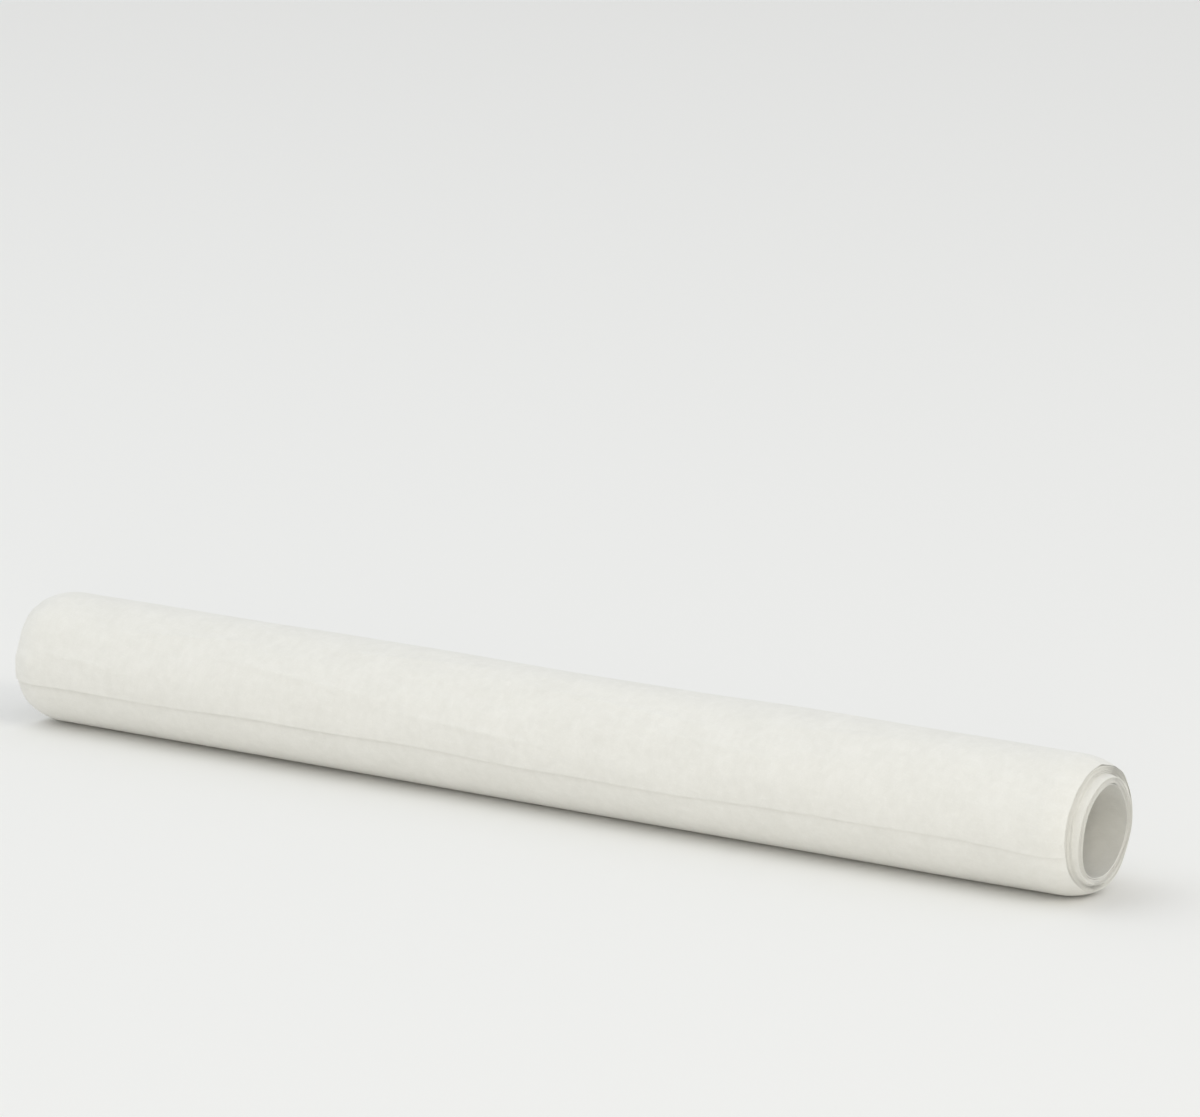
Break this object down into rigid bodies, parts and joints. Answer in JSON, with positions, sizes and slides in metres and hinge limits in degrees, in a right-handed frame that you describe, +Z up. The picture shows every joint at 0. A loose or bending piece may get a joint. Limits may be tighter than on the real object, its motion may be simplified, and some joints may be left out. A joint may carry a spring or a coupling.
{
  "type": "roll of embroidery stabilizer",
  "caption": "Coreless roll of thin white embroidery stabilizer cloth, lying on its side, with an open middle and a free outer edge.",
  "frame": {"origin": "on the floor under the middle of the roll's box", "axes": "+X along the roll, +Z up, and the sheet's free outer edge on the -Y side"},
  "size_m": [0.4978, 0.057, 0.0532],
  "materials": {
    "stabilizer_cloth": "soft matt white, slightly sheer in one layer"
  },
  "bodies": {
    "root": {"stabilizer_roll": "stabilizer_cloth"}
  },
  "joints": []
}
